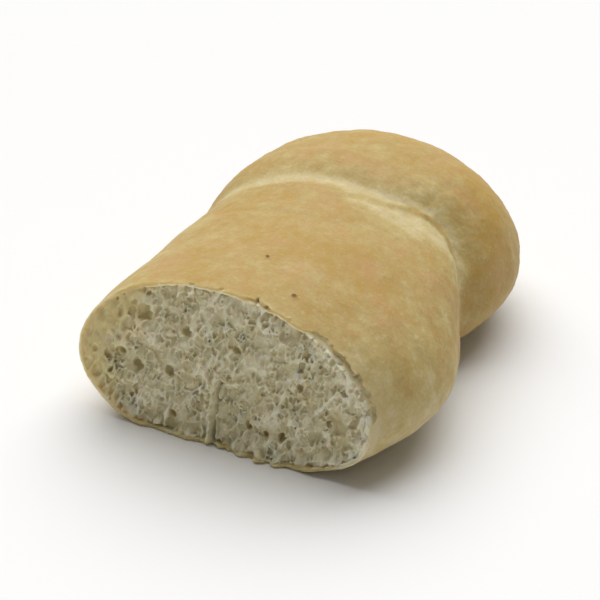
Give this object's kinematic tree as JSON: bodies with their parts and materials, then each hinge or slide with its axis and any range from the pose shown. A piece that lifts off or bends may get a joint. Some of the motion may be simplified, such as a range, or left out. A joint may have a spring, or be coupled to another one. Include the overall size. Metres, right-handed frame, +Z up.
{
  "type": "bread roll",
  "caption": "Lobed white bread roll cut across: a golden crust over rounded lobes with a pale crease between them, an open crumb at the cut, and a flat base.",
  "frame": {"origin": "middle of the footprint box, on the surface that the roll rests on", "axes": "+Z up, +Y from the cut face to the rounded end, +X to the right seen from the cut face"},
  "size_m": [0.0766, 0.095, 0.0382],
  "materials": {
    "bread": "matt baked crust, golden on top and paler at the sides and in the crease, with pale open crumb at the cut"
  },
  "bodies": {
    "root": {"bread_roll": "bread"}
  },
  "joints": []
}
